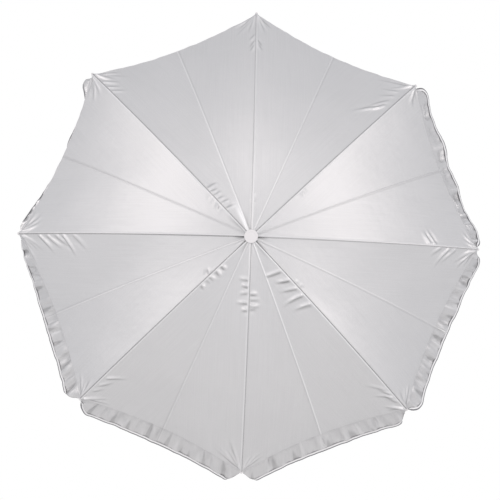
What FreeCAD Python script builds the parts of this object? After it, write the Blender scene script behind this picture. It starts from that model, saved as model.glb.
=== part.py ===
import FreeCAD
import Part
import math
import os

# A folding umbrella reflector with a silver canopy and a hanging valance, held by its shaft.
# Everything is drawn about the shaft as the Z axis, which runs from the crown to the free end, and lay_level()
# then turns it so that the shaft lies along +Y, the crown faces -Y and +Z is up.
# The origin is the middle of the clean length of shaft that a light stand's umbrella holder clamps.

# Driving sizes, in millimetres and degrees.
rib_count = 8
canopy_radius = 480.0  # shaft to rib tip, open
crown_depth = 173.0  # crown of the ribs to the plane of their tips
fold_angle = 60.0  # the swing of a rib from open to closed
stretcher_length = 215.0  # pivot to pivot, and also rib pivot to stretcher pivot along the rib
pivot_radius = 10.0  # shaft to the wire that the ribs, or the stretchers, turn on
running_gap = 0.05  # radial, between a pin and its hole
bolted_gap = 0.02  # between pieces that are pressed or riveted together
free_gap = 0.05  # between a piece and the one that it is pushed over

shaft_radius = 4.0
shaft_wall = 1.0
grip_length = 180.0  # clean shaft between the lower stop and the end plug
end_plug_head = 7.0
end_plug_depth = 14.0
end_plug_step = 0.35  # the plug's head is this much inside the shaft's surface

wire_radius = 0.6
eye_radius = 2.1
eye_thickness = 1.2
slot_gap = 0.25  # beside an eye in its slot

hub_wall = 3.0  # outside the pivots, in the top notch and the runner's head
notch_roof = 0.8  # above the slots
notch_skirt = 7.0  # below the rib pivots
runner_bore_gap = 0.1
runner_head_above = 6.0  # above the stretcher pivots
runner_head_below = 5.0
runner_radius = 7.4
runner_tail = 40.0  # stretcher pivots to the runner's lower end
runner_flange_radius = 10.5
runner_flange = 2.4
runner_grip_wall = 1.3
runner_grip_length = 22.0

cross_pin_radius = 0.75
stop_pin_reach = 2.2  # beyond the shaft
stop_ring_width = 2.4
stop_ring_thickness = 1.0
stop_groove_depth = 0.4
stop_groove_slack = 0.2
rest_gap = 0.4  # between the runner and each stop

catch_length = 27.0
catch_width = 1.6
catch_height = 2.4
catch_slot_gap = 0.2
catch_pin_radius = 0.6

rib_width = 3.0
rib_height = 2.4
rib_sheet = 0.5
rib_tab_length = 9.0  # flat end between the hub and the channel
stretcher_width = 2.6
stretcher_height = 2.0
stretcher_sheet = 0.45
stretcher_tab_length = 8.0
stretcher_eye_radius = 1.6
ear_gap = 0.37  # between the stretcher's eye and the ears of the clip
eye_shoulder = 0.5  # each side, from the eye to the flattened end behind it
joint_gap = 0.53  # between the stretcher's eye and the clip's floor
clip_sheet = 0.6
clip_length = 11.0
rivet_radius = 0.75
rivet_head = 0.5
tip_ball_radius = 3.2
tip_wall = 0.68  # at the corners of the rib
tip_sleeve_length = 9.0

fabric = 0.5
crown_hole_gap = 0.6  # around the cap's spigot
tip_canopy_gap = 0.7  # between the tips and the fabric
crown_canopy_gap = 1.15  # between the washer and the fabric
fabric_lift_fade = 70.0  # length of rib over which the fabric comes down to the tips' lift
sag_stiffness = 1.0  # dome radius over the radius that a panel sags to
seam_gap = 0.4  # between panels that ride on different ribs
valance_drop = 42.0
valance_gap = 0.3
valance_end = 4.0  # hem between a rib and the flap's end
valance_cut = 38.0  # hem over which the flap's corner is cut back
valance_lean = 0.55  # how far a flap leans outwards where gravity does not move it
valance_droop = 0.95  # how much gravity swings it

cap_overhang = 0.9  # beyond the top notch
cap_height = 4.6
cap_edge = 1.6
cap_wall = 1.4
cap_core_wall = 1.2
cap_dish_radius = 9.5
cap_dish_depth = 0.5
cap_clearance = 0.4
cap_spigot_length = 16.0
washer_radius = 9.0
washer_thickness = 0.6

# What follows from them.
sector = 360.0 / rib_count
half_sector = math.radians(sector / 2)
shaft_bore = shaft_radius - shaft_wall
hub_radius = pivot_radius + hub_wall  # the top notch and the runner's head
cap_radius = hub_radius + cap_overhang
crown_hole_radius = shaft_bore + crown_hole_gap
clip_floor = rib_height / 2 + bolted_gap + free_gap  # rib centreline to the clip's floor
joint_drop = clip_floor + clip_sheet + joint_gap + stretcher_eye_radius
stretcher_eye_thickness = rib_width + 2 * bolted_gap - 2 * ear_gap
tip_sleeve_radius = math.hypot(rib_width, rib_height) / 2 + tip_wall
slot_reach = eye_radius + slot_gap
notch_height_above = slot_reach + notch_roof  # above the rib pivots
fabric_lift_rim = tip_sleeve_radius + tip_canopy_gap  # rib centreline to the fabric's inner face
fabric_lift_crown = notch_height_above + washer_thickness + crown_canopy_gap
dome_radius = (canopy_radius**2 + crown_depth**2) / (2 * crown_depth)
rim_angle = math.asin(canopy_radius / dome_radius)
pivot_angle = math.asin(pivot_radius / dome_radius)
joint_arm = dome_radius - joint_drop
joint_angle = pivot_angle + math.acos(
    (dome_radius**2 + joint_arm**2 - stretcher_length**2) / (2 * dome_radius * joint_arm)
)
# The line from the rib pivot to the stretcher rivet leans from the shaft by open_lean.
joint_out = joint_arm * math.sin(joint_angle) - pivot_radius
joint_down = dome_radius * math.cos(pivot_angle) - joint_arm * math.cos(joint_angle)
open_lean = math.atan2(joint_out, joint_down)
open_drop = 2 * stretcher_length * math.cos(open_lean)
closed_drop = 2 * stretcher_length * math.cos(open_lean - math.radians(fold_angle))

shaft_end = grip_length / 2
stop_groove_end = -grip_length / 2
stop_groove_width = stop_ring_thickness + stop_groove_slack
stop_ring_top = stop_groove_end - stop_groove_slack / 2 - stop_ring_thickness
rib_pivot_z = stop_ring_top - rest_gap - runner_tail - closed_drop
runner_pivot_z = rib_pivot_z + open_drop
dome_centre_z = rib_pivot_z + dome_radius * math.cos(pivot_angle)
notch_top = rib_pivot_z - notch_height_above
shaft_top = notch_top
slot_width = eye_thickness + 2 * slot_gap
runner_bore = shaft_radius + runner_bore_gap
runner_end = runner_pivot_z + runner_tail
catch_pivot_z = runner_end + rest_gap + catch_length
catch_pivot_r = shaft_bore / 2

axis = FreeCAD.Vector(0, 0, 1)
origin = FreeCAD.Vector(0, 0, 0)


def at(x, y, z):
    return FreeCAD.Vector(x, y, z)


def rod(radius, start, end):
    """A round bar from one point to another."""
    along = end - start
    return Part.makeCylinder(radius, along.Length, start, along)


def tube(outer, inner, z_low, z_high):
    wall = rod(outer, at(0, 0, z_low), at(0, 0, z_high))
    return wall.cut(rod(inner, at(0, 0, z_low - 1), at(0, 0, z_high + 1)))


def block(x_low, x_high, y_low, y_high, z_low, z_high):
    return Part.makeBox(x_high - x_low, y_high - y_low, z_high - z_low, at(x_low, y_low, z_low))


def turned(shape, degrees):
    """A copy turned about the shaft."""
    copy = shape.copy()
    copy.rotate(origin, axis, degrees)
    return copy


def azimuth(number):
    """Where a rib stands about the shaft. Rib 1 is at the top."""
    return -90.0 + sector * (number - 1)


def lay_level(shape):
    copy = shape.copy()
    copy.rotate(origin, at(1, 0, 0), -90)
    return copy


def save(name, *solids):
    whole = Part.makeCompound([lay_level(solid) for solid in solids])
    whole.exportStep(os.path.join("parts", name + ".step"))
    for solid in solids:
        if not solid.isValid() or solid.Volume <= 0:
            print("not a sound solid:", name)


# Rods and wires that others turn on.


def pivot_wire(z, radius=wire_radius):
    """A wire bent to a polygon, with a straight side at each rib for an eye to turn on."""
    corner = pivot_radius / math.cos(half_sector)
    corners = []
    for number in range(rib_count):
        angle = math.radians(azimuth(1)) + half_sector * (2 * number + 1)
        corners.append(at(corner * math.cos(angle), corner * math.sin(angle), z))
    pieces = [Part.makeSphere(radius, point) for point in corners]
    for number in range(rib_count):
        pieces.append(rod(radius, corners[number - 1], corners[number]))
    return pieces[0].multiFuse(pieces[1:])


def slots(z_low, z_high):
    """The radial slots that the eyes turn in."""
    slot = block(pivot_radius - slot_reach, hub_radius + 1, -slot_width / 2, slot_width / 2, z_low, z_high)
    return [turned(slot, azimuth(number)) for number in range(1, rib_count + 1)]


def cross_pin(z, reach, radius=cross_pin_radius):
    """A pin through the shaft, between two ribs."""
    pin = rod(radius, at(-reach, 0, z), at(reach, 0, z))
    return turned(pin, azimuth(1) + sector / 2)


notch_pin_z = rib_pivot_z + notch_skirt / 2 + cross_pin_radius
notch_pin_reach = hub_radius - 0.4
upper_stop_z = runner_pivot_z - runner_head_above - rest_gap - cross_pin_radius


# The shaft and what is fixed on it.


def towards_catch(shape):
    """The catch is on the top side of the shaft."""
    return turned(shape, azimuth(1))


def catch_pin(radius=catch_pin_radius):
    half = math.sqrt(shaft_radius**2 - catch_pivot_r**2) - 0.3
    return towards_catch(rod(radius, at(catch_pivot_r, -half, catch_pivot_z), at(catch_pivot_r, half, catch_pivot_z)))


def shaft_tube():
    body = tube(shaft_radius, shaft_bore, shaft_top, shaft_end)
    groove = tube(
        shaft_radius + 1, shaft_radius - stop_groove_depth, stop_groove_end - stop_groove_width, stop_groove_end
    )
    half = catch_width / 2 + catch_slot_gap
    slot = block(
        0, shaft_radius + 1, -half, half, runner_end + rest_gap - catch_slot_gap, catch_pivot_z + catch_height
    )
    return (
        body.cut(groove)
        .cut(towards_catch(slot))
        .cut(cross_pin(notch_pin_z, hub_radius, cross_pin_radius + bolted_gap))
        .cut(cross_pin(upper_stop_z, hub_radius, cross_pin_radius + bolted_gap))
        .cut(catch_pin(catch_pin_radius + bolted_gap))
    )


def shaft_end_plug():
    head_radius = shaft_radius - end_plug_step
    head = rod(head_radius, at(0, 0, shaft_end + free_gap), at(0, 0, shaft_end + end_plug_head))
    edges = [edge for edge in head.Edges if edge.BoundBox.ZMin > shaft_end + end_plug_head - 0.01]
    head = head.makeFillet(head_radius * 0.45, edges)
    stem = rod(shaft_bore - bolted_gap, at(0, 0, shaft_end - end_plug_depth), at(0, 0, shaft_end + 1))
    return head.fuse(stem).removeSplitter()


def top_notch():
    body = tube(hub_radius, shaft_radius + bolted_gap, notch_top, rib_pivot_z + notch_skirt)
    rim = [edge for edge in body.Edges if edge.Length > 2 * math.pi * (hub_radius - 0.01)]
    body = body.makeChamfer(0.4, rim)
    for slot in slots(rib_pivot_z - slot_reach, rib_pivot_z + notch_skirt + 1):
        body = body.cut(slot)
    body = body.cut(pivot_wire(rib_pivot_z, wire_radius + bolted_gap))
    return body.cut(cross_pin(notch_pin_z, notch_pin_reach + 0.1, cross_pin_radius + bolted_gap))


def lower_stop_ring():
    """A snap ring in the shaft's groove, open on one side, that the closed runner rests on."""
    ring = tube(
        shaft_radius + stop_ring_width,
        shaft_radius - stop_groove_depth + bolted_gap,
        stop_ring_top,
        stop_ring_top + stop_ring_thickness,
    )
    mouth = shaft_radius * 0.8
    return ring.cut(turned(block(0, hub_radius, -mouth, mouth, stop_ring_top - 1, stop_groove_end + 1), 90))


def crown_cap():
    """The round cap that holds the canopy down on the notch. Its spigot is pressed into the shaft."""
    under = dome_centre_z - dome_radius - fabric_lift_crown - fabric - cap_clearance
    disc = rod(cap_radius, at(0, 0, under - cap_height), at(0, 0, under))
    top_edge = [
        edge
        for edge in disc.Edges
        if edge.Length > 2 * math.pi * (cap_radius - 0.01) and edge.BoundBox.ZMax < under - 0.1
    ]
    disc = disc.makeFillet(cap_edge, top_edge)
    dish = Part.makeCone(
        cap_dish_radius,
        cap_dish_radius - 2 * cap_dish_depth,
        cap_dish_depth,
        at(0, 0, under - cap_height),
        axis,
    )
    hollow = tube(cap_radius - cap_wall, shaft_bore + cap_core_wall, under - cap_height * 0.55, under + 1)
    spigot = rod(shaft_bore - bolted_gap, at(0, 0, under - 0.5), at(0, 0, shaft_top + cap_spigot_length))
    spigot = spigot.cut(cross_pin(notch_pin_z, hub_radius, cross_pin_radius + bolted_gap))
    return disc.cut(dish).cut(hollow).fuse(spigot).removeSplitter()


def crown_washer():
    return tube(washer_radius, crown_hole_radius, notch_top - washer_thickness, notch_top)


def catch_lever():
    """A lever in the shaft's slot. Out, its upper end stands below the runner and holds it up."""
    high = catch_pivot_z
    low = runner_end + rest_gap
    outer = shaft_radius - free_gap
    bar = block(outer - catch_height, outer, -catch_width / 2, catch_width / 2, low, high)
    nose_edges = [
        edge
        for edge in bar.Edges
        if edge.BoundBox.XMin > outer - 0.01 and edge.BoundBox.ZMax < low + 0.01
    ]
    bar = bar.makeFillet(0.6, nose_edges)
    hub = rod(
        catch_pin_radius + 0.6,
        at(catch_pivot_r, -catch_width / 2, catch_pivot_z),
        at(catch_pivot_r, catch_width / 2, catch_pivot_z),
    )
    return towards_catch(bar.fuse(hub)).cut(catch_pin(catch_pin_radius + running_gap))


# The runner.


def runner():
    head = rod(
        hub_radius, at(0, 0, runner_pivot_z - runner_head_above), at(0, 0, runner_pivot_z + runner_head_below)
    )
    rim = [edge for edge in head.Edges if edge.Length > 2 * math.pi * (hub_radius - 0.01)]
    head = head.makeChamfer(0.5, rim)
    barrel = rod(runner_radius, at(0, 0, runner_pivot_z), at(0, 0, runner_end))
    flange = rod(runner_flange_radius, at(0, 0, runner_end - runner_flange), at(0, 0, runner_end))
    body = head.fuse(barrel).fuse(flange)
    for slot in slots(runner_pivot_z - runner_head_above - 1, runner_pivot_z + slot_reach):
        body = body.cut(slot)
    body = body.cut(pivot_wire(runner_pivot_z, wire_radius + bolted_gap))
    bore = rod(runner_bore, at(0, 0, runner_pivot_z - runner_head_above - 1), at(0, 0, runner_end + 1))
    return body.cut(bore).removeSplitter()


def runner_grip():
    """A ribbed sleeve pushed over the runner, up to its flange."""
    bottom = runner_end - runner_flange
    top = bottom - runner_grip_length
    sleeve = tube(runner_radius + bolted_gap + runner_grip_wall, runner_radius + bolted_gap, top, bottom)
    count = 6
    pitch = runner_grip_length / (count + 1)
    for number in range(1, count + 1):
        z = top + pitch * number
        sleeve = sleeve.cut(
            tube(runner_radius + runner_grip_wall + 1, runner_radius + runner_grip_wall / 2, z - 0.6, z + 0.6)
        )
    return sleeve


# A rib, drawn pointing along +X.


def on_arc(radius, angle):
    """The point at that angle from the crown, on a circle about the dome's centre."""
    return at(radius * math.sin(angle), 0, dome_centre_z - radius * math.cos(angle))


def arc_bar(outline, start, end):
    """A bar bent to the dome. The outline is (across, inwards) pairs from the rib's centreline."""
    points = [at(0, across, dome_centre_z - dome_radius + inwards) for across, inwards in outline]
    face = Part.Face(Part.makePolygon(points + points[:1]))
    centre, bend = at(0, 0, dome_centre_z), at(0, -1, 0)
    face.rotate(centre, bend, math.degrees(start))
    return face.revolve(centre, bend, math.degrees(end - start))


def channel_outline(width, height, sheet):
    """A U with its web on the outer side."""
    w, h = width / 2, height / 2
    outside = [(-w, h), (-w, -h), (w, -h), (w, h)]
    inside = [(w - sheet, h), (w - sheet, sheet - h), (sheet - w, sheet - h), (sheet - w, h)]
    return outside + inside


def flat_outline(thickness, height):
    w, h = thickness / 2, height / 2
    return [(-w, -h), (w, -h), (w, h), (-w, h)]


channel_start = (hub_radius + rib_tab_length) / dome_radius
rib_end = rim_angle - tip_ball_radius / 2 / dome_radius


def rib():
    channel = arc_bar(channel_outline(rib_width, rib_height, rib_sheet), channel_start, rib_end)
    tab = arc_bar(flat_outline(eye_thickness, rib_height), pivot_angle, channel_start + 4 / dome_radius)
    pivot = on_arc(dome_radius, pivot_angle)
    half = at(0, eye_thickness / 2, 0)
    eye = rod(eye_radius, pivot - half, pivot + half)
    hole = rod(wire_radius + running_gap, pivot - half * 2, pivot + half * 2)
    return channel.fuse(tab).fuse(eye).cut(hole)


def bent_to(shape, angle):
    """A shape drawn at the crown, square to the shaft, carried along the dome to that angle."""
    copy = shape.copy()
    copy.rotate(at(0, 0, dome_centre_z), at(0, -1, 0), math.degrees(angle))
    return copy


def rib_tip():
    """A ball with a sleeve over the rib's end."""
    line = dome_centre_z - dome_radius
    ball_x = tip_ball_radius + 0.4
    sleeve = rod(tip_sleeve_radius, at(-tip_sleeve_length, 0, line), at(ball_x, 0, line))
    ball = Part.makeSphere(tip_ball_radius, at(ball_x, 0, line))
    body = sleeve.fuse(ball)
    w, h = rib_width / 2 + running_gap, rib_height / 2 + running_gap
    pocket = block(-tip_sleeve_length - 1, 0, -w, w, line - h, line + h)
    return bent_to(body.cut(pocket), rim_angle)


def rib_clip():
    """A pressed bracket on the rib, with two ears, and the rivet that the stretcher turns on."""
    line = dome_centre_z - dome_radius
    inner = rib_width / 2 + bolted_gap
    outer = inner + clip_sheet
    under = line + clip_floor
    half = clip_length / 2
    foot = line + joint_drop + stretcher_eye_radius + 0.5
    body = block(-half, half, -outer, outer, line - rib_height / 4, under + clip_sheet)
    body = body.cut(block(-half - 1, half + 1, -inner, inner, line - rib_height, under))
    ear = half * 0.55
    for side in (-1, 1):
        low, high = sorted((side * inner, side * outer))
        body = body.fuse(block(-ear, ear, low, high, line, foot))
    reach = outer + rivet_head
    joint = at(0, 0, line + joint_drop)
    pin = rod(rivet_radius, joint - at(0, reach, 0), joint + at(0, reach, 0))
    for side in (-1, 1):
        head = joint + at(0, side * (outer + running_gap), 0)
        pin = pin.fuse(rod(rivet_radius * 1.8, head, head + at(0, side * rivet_head, 0)))
    hole = rod(rivet_radius + bolted_gap, joint - at(0, reach, 0), joint + at(0, reach, 0))
    return bent_to(body.removeSplitter().cut(hole), joint_angle), bent_to(pin, joint_angle)


def stretcher():
    """Drawn along +X from the runner's wire, then leaned to the open pose."""
    length = stretcher_length
    start = hub_radius - pivot_radius + stretcher_tab_length
    end = length - stretcher_tab_length
    w, h, t = stretcher_width / 2, stretcher_height / 2, stretcher_sheet
    channel = block(start, end, -w, w, -h, h).cut(block(start - 1, end + 1, t - w, w - t, -h - 1, h - t))
    inner_tab = block(0, start + 4, -eye_thickness / 2, eye_thickness / 2, -h, h)
    outer_half = stretcher_eye_thickness / 2 - eye_shoulder
    outer_tab = block(end - 4, length, -outer_half, outer_half, -h, h)
    inner_eye = rod(eye_radius, at(0, -eye_thickness / 2, 0), at(0, eye_thickness / 2, 0))
    half = stretcher_eye_thickness / 2
    outer_eye = rod(stretcher_eye_radius, at(length, -half, 0), at(length, half, 0))
    body = channel.fuse(inner_tab).fuse(outer_tab).fuse(inner_eye).fuse(outer_eye)
    body = body.cut(rod(wire_radius + running_gap, at(0, -5, 0), at(0, 5, 0)))
    body = body.cut(rod(rivet_radius + running_gap, at(length, -5, 0), at(length, 5, 0)))
    body.rotate(origin, at(0, 1, 0), 90 - math.degrees(open_lean))
    body.translate(at(pivot_radius, 0, runner_pivot_z))
    return body


# The canopy. Each rib carries the two gores that are sewn together along it.


def sheet_solid(outer, inner):
    """A closed sheet between two grids of points."""
    faces, edges = [], []
    for grid in (outer, inner):
        surface = Part.BSplineSurface()
        surface.interpolate(grid)
        face = surface.toShape()
        faces.append(face)
        edges.append(face.Edges)
    for edge in edges[0]:
        middle = edge.valueAt((edge.FirstParameter + edge.LastParameter) / 2)
        mate = min(
            edges[1], key=lambda e: e.valueAt((e.FirstParameter + e.LastParameter) / 2).distanceToPoint(middle)
        )
        faces.append(Part.makeRuledSurface(edge, mate))
    shell = Part.makeShell(faces)
    shell.sewShape()
    solid = Part.makeSolid(shell)
    if solid.Volume < 0:
        solid.reverse()
    return solid


def fabric_lift(angle):
    """How far the fabric's inner face stands off the rib's centreline."""
    along = angle * dome_radius / fabric_lift_fade
    return fabric_lift_rim + (fabric_lift_crown - fabric_lift_rim) * math.exp(-along * along)


def panel_point(angle, share, side):
    """On the fabric's inner face, for a rib along +X: share is 1 at the rib and 0 at the seam between two ribs."""
    radius = dome_radius + fabric_lift(angle)
    out = radius * math.sin(angle)
    half_width = out * math.sin(half_sector)
    across = seam_gap / 2 + share * (half_width - seam_gap / 2)
    sag = sag_stiffness * half_width**2 / (2 * dome_radius) * (1 - (across / half_width) ** 2)
    along = out * math.cos(half_sector) - sag * math.sin(angle)
    x = along * math.cos(half_sector) + across * math.sin(half_sector)
    y = along * math.sin(half_sector) - across * math.cos(half_sector)
    return at(x, side * y, dome_centre_z - radius * math.cos(angle) + sag * math.cos(angle))


def thickened(point, angle, by):
    """The point moved out of the bowl, square to the dome, staying in its own plane through the shaft."""
    flat = math.hypot(point.x, point.y)
    out = by * math.sin(angle)
    return at(point.x * (1 + out / flat), point.y * (1 + out / flat), point.z - by * math.cos(angle))


gore_rows = 10
gore_columns = 5
hem_rows = 4
hem_columns = 13
crown_angle = math.asin(crown_hole_radius / dome_radius)


def gore(side):
    inner, outer = [], []
    for row in range(gore_rows):
        angle = crown_angle + (rim_angle - crown_angle) * row / (gore_rows - 1)
        line = [panel_point(angle, column / (gore_columns - 1), side) for column in range(gore_columns)]
        inner.append(line)
        outer.append([thickened(point, angle, fabric) for point in line])
    return sheet_solid(outer, inner)


def flap_drop(from_rib):
    """The flap's drop at that length of hem from the rib: full but where its corner is cut back."""
    if from_rib >= valance_cut:
        return valance_drop
    return valance_drop * (1 - (1 - from_rib / valance_cut) ** 1.6)


def flap(number, side):
    """Half of a valance flap. It hangs from the hem, swung outwards or inwards by gravity."""
    turn = math.radians(azimuth(number))
    inner, outer = [], []
    half_hem = dome_radius * math.sin(rim_angle) * math.sin(half_sector)
    columns = [(1 - valance_end / half_hem) * column / (hem_columns - 1) for column in range(hem_columns)]
    for row in range(hem_rows):
        inner_line, outer_line = [], []
        for share in columns:
            hem = panel_point(rim_angle, share, side)
            local = math.atan2(hem.y, hem.x)
            out = valance_lean + valance_droop * math.sin(turn + local)
            length = math.hypot(1, out)
            reach = valance_gap + flap_drop(half_hem * (1 - share)) * row / (hem_rows - 1)
            radial, axial = out / length * reach, reach / length
            for line, shift in ((inner_line, 0.0), (outer_line, fabric)):
                # The thickness is square to the flap: outwards where it hangs straight back.
                r = math.hypot(hem.x, hem.y) + radial + shift / length
                z = hem.z + axial - shift * out / length
                line.append(at(r * math.cos(local), r * math.sin(local), z))
        inner.append(inner_line)
        outer.append(outer_line)
    return turned(sheet_solid(outer, inner), azimuth(number))


def main():
    os.makedirs("parts", exist_ok=True)
    save("shaft_tube", shaft_tube())
    save("shaft_end_plug", shaft_end_plug())
    save("top_notch", top_notch())
    save("notch_wire", pivot_wire(rib_pivot_z))
    save(
        "shaft_cross_pins",
        cross_pin(notch_pin_z, notch_pin_reach),
        cross_pin(upper_stop_z, shaft_radius + stop_pin_reach),
        catch_pin(),
    )
    save("crown_cap", crown_cap())
    save("crown_washer", crown_washer())
    save("lower_stop_ring", lower_stop_ring())
    save("catch_lever", catch_lever())
    save("runner", runner())
    save("runner_wire", pivot_wire(runner_pivot_z))
    save("runner_grip", runner_grip())

    one_rib, one_tip, one_stretcher = rib(), rib_tip(), stretcher()
    clip, rivet = rib_clip()
    gores = [gore(1), gore(-1)]
    for number in range(1, rib_count + 1):
        turn = azimuth(number)
        save(f"rib_{number}", turned(one_rib, turn))
        save(f"rib_tip_{number}", turned(one_tip, turn))
        save(f"rib_clip_{number}", turned(clip, turn), turned(rivet, turn))
        save(f"stretcher_{number}", turned(one_stretcher, turn))
        save(f"canopy_gores_{number}", *[turned(piece, turn) for piece in gores])
        save(f"valance_{number}", flap(number, 1), flap(number, -1))

    print("dome radius", round(dome_radius, 1), "open lean", round(math.degrees(open_lean), 2))
    print("rib pivot y", round(rib_pivot_z, 3), "runner pivot y", round(runner_pivot_z, 3))
    print("stretcher rivet", on_arc(joint_arm, joint_angle))
    print("catch pivot", round(catch_pivot_r, 3), round(catch_pivot_z, 3))
    print("travel of the runner", round(closed_drop - open_drop, 1))


main()
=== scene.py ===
import math
import random

import bpy
import numpy as np
from mathutils import Matrix, Vector, noise


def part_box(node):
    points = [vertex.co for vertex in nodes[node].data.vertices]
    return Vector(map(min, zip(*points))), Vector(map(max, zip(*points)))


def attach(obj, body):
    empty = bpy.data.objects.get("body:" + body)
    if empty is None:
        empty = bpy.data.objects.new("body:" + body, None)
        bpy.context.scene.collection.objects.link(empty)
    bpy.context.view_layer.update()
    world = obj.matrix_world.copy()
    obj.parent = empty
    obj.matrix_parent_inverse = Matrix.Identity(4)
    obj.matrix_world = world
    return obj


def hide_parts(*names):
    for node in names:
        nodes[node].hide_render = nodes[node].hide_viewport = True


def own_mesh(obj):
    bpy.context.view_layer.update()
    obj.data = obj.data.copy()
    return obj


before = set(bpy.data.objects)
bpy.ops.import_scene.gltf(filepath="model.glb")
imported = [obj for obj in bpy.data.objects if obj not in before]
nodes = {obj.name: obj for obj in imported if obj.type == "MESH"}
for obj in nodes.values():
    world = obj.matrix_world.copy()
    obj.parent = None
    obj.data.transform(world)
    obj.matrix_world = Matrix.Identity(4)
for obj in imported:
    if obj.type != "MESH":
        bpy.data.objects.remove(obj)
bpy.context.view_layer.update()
print("frame loaded:", len(nodes), "CAD nodes")


# sizes the cloth shares with the frame, in metres

umbrella = {
    "ribs": 8,
    "openRadius": 0.480,  # shaft to rib tip
    "crownDepth": 0.173,
    "pivotRadius": 0.010,  # shaft to the wire that the ribs turn on
    "liftAtHem": 0.0033,  # rib line to the inside of the cloth
    "liftAtCrown": 0.0049,
    "liftFade": 0.070,
    "crownHole": 0.0036,
}
halfPanel = math.pi / umbrella["ribs"]
domeRadius = (umbrella["openRadius"] ** 2 + umbrella["crownDepth"] ** 2) / (2 * umbrella["crownDepth"])
rimAngle = math.asin(umbrella["openRadius"] / domeRadius)
wireLow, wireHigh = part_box("notch_wire")
ribPivotY = (wireLow.y + wireHigh.y) / 2
domeCentreY = ribPivotY + math.sqrt(domeRadius ** 2 - umbrella["pivotRadius"] ** 2)


def smooth(low, high, value):
    t = np.clip((value - low) / (high - low), 0.0, 1.0)
    return t * t * (3 - 2 * t)


def bell(value, width):
    return np.exp(-(value / width) ** 2)


def unit(vectors):
    return vectors / np.linalg.norm(vectors, axis=-1, keepdims=True)


def ribAxes(k):
    turn = 2 * halfPanel * (k - 1)  # rib 1 is at the top, then clockwise from the front
    radial = np.array([math.sin(turn), 0.0, math.cos(turn)])
    tangent = np.array([math.cos(turn), 0.0, -math.sin(turn)])
    return radial, tangent


def liftOff(theta):
    fade = np.exp(-(theta * domeRadius / umbrella["liftFade"]) ** 2)
    return umbrella["liftAtHem"] + (umbrella["liftAtCrown"] - umbrella["liftAtHem"]) * fade


def halfWidthAt(theta):
    return (domeRadius + liftOff(theta)) * np.sin(theta) * math.sin(halfPanel)


def panelPoints(k, theta, fromRib, side):
    # the stretched cloth between rib k and the middle of the panel on that side
    radial, tangent = ribAxes(k)
    radius = domeRadius + liftOff(theta)
    out = radius * np.sin(theta)
    halfWidth = halfWidthAt(theta)
    across = halfWidth - fromRib
    sag = (halfWidth ** 2 - across ** 2) / (2 * domeRadius)
    along = out * math.cos(halfPanel) - sag * np.sin(theta)
    x = along * math.cos(halfPanel) + across * math.sin(halfPanel)
    y = side * (along * math.sin(halfPanel) - across * math.cos(halfPanel))
    axial = domeCentreY - radius * np.cos(theta) + sag * np.cos(theta)
    points = x[..., None] * radial + y[..., None] * tangent
    points[..., 1] += axial
    flat = points.copy()
    flat[..., 1] = 0.0
    flat /= np.maximum(np.linalg.norm(flat, axis=-1, keepdims=True), 1e-9)
    normals = flat * np.sin(theta)[..., None]
    normals[..., 1] -= np.cos(theta)
    return points, normals


# folds that the pull of the ribs leaves in the cloth: at each tip first a fan, then strokes further in
# fan: how many, first and last angle from the rib in degrees, length
# strokes: how many, first and last distance from the tip, angle, length, how far from the rib

folds = {
    "height": 0.0034, "width": 0.0044, "strokeWidth": 0.8,
    "fanWidth": 0.55, "fanSpread": 6.0,  # at the tip, and how it widens
    "rise": 0.18, "fade": 0.35,  # share of its length over which a fold rises, and where it starts to fade
    "hollow": 0.55,  # beside each fold
    "tips": {
        (1, -1): [(5, 18, 58, 0.075), (3, 0.060, 0.100, 35, 0.034)],
        (1, 1): [(3, 20, 48, 0.065), (2, 0.075, 0.092, 35, 0.022)],
        (2, -1): [(3, 34, 52, 0.080), (5, 0.025, 0.105, 41, 0.070, 0.018)],
        (2, 1): [(4, 12, 48, 0.050)],
        (3, -1): [(3, 30, 58, 0.055), (3, 0.110, 0.140, 60, 0.045)],
        (3, 1): [(5, 16, 52, 0.080), (3, 0.050, 0.110, 40, 0.055)],
        (4, -1): [(5, 8, 48, 0.055)],
        (4, 1): [(3, 36, 54, 0.050), (4, 0.016, 0.075, 33, 0.052, 0.004)],
        (5, -1): [(3, 20, 56, 0.060)],
        (5, 1): [(4, 20, 52, 0.085)],
        (6, -1): [(2, 44, 56, 0.088), (3, 0.022, 0.085, 38, 0.055, 0.008)],
        (6, 1): [(3, 12, 46, 0.055)],
        (7, -1): [(4, 22, 56, 0.080), (5, 0.040, 0.150, 46, 0.060)],
        (7, 1): [(4, 20, 56, 0.070)],
        (8, -1): [(5, 18, 56, 0.070)],
        (8, 1): [(5, 22, 58, 0.075), (3, 0.030, 0.080, 45, 0.055)],
    },
    # puckers where the cloth is sewn to the rib near the crown
    # side, how many, first and last distance from the tip, angle, length, size
    "puckers": {
        1: [(1, 2, 0.430, 0.460, 85, 0.010, 0.6), (-1, 1, 0.440, 0.455, 80, 0.010, 0.4)],
        2: [(1, 2, 0.360, 0.390, 75, 0.018, 0.4)],
        4: [(1, 5, 0.325, 0.440, 64, 0.050, 1.35), (-1, 2, 0.375, 0.400, 100, 0.016, 0.5)],
        5: [(1, 5, 0.368, 0.444, 86, 0.026, 1.0), (-1, 4, 0.368, 0.412, 88, 0.030, 1.1)],
        6: [(-1, 5, 0.374, 0.446, 90, 0.024, 1.0), (1, 2, 0.400, 0.425, 60, 0.014, 0.9)],
        8: [(1, 6, 0.383, 0.452, 76, 0.026, 1.0), (-1, 3, 0.400, 0.440, 70, 0.016, 0.6)],
    },
    "paintedFoldLight": 0.36,  # how strong the painted highlight and painted shade along the folds are
    "paintedFoldShade": 0.46,
    "ribClear": 0.0035,  # the cloth lies flat this close to a rib
}


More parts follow.
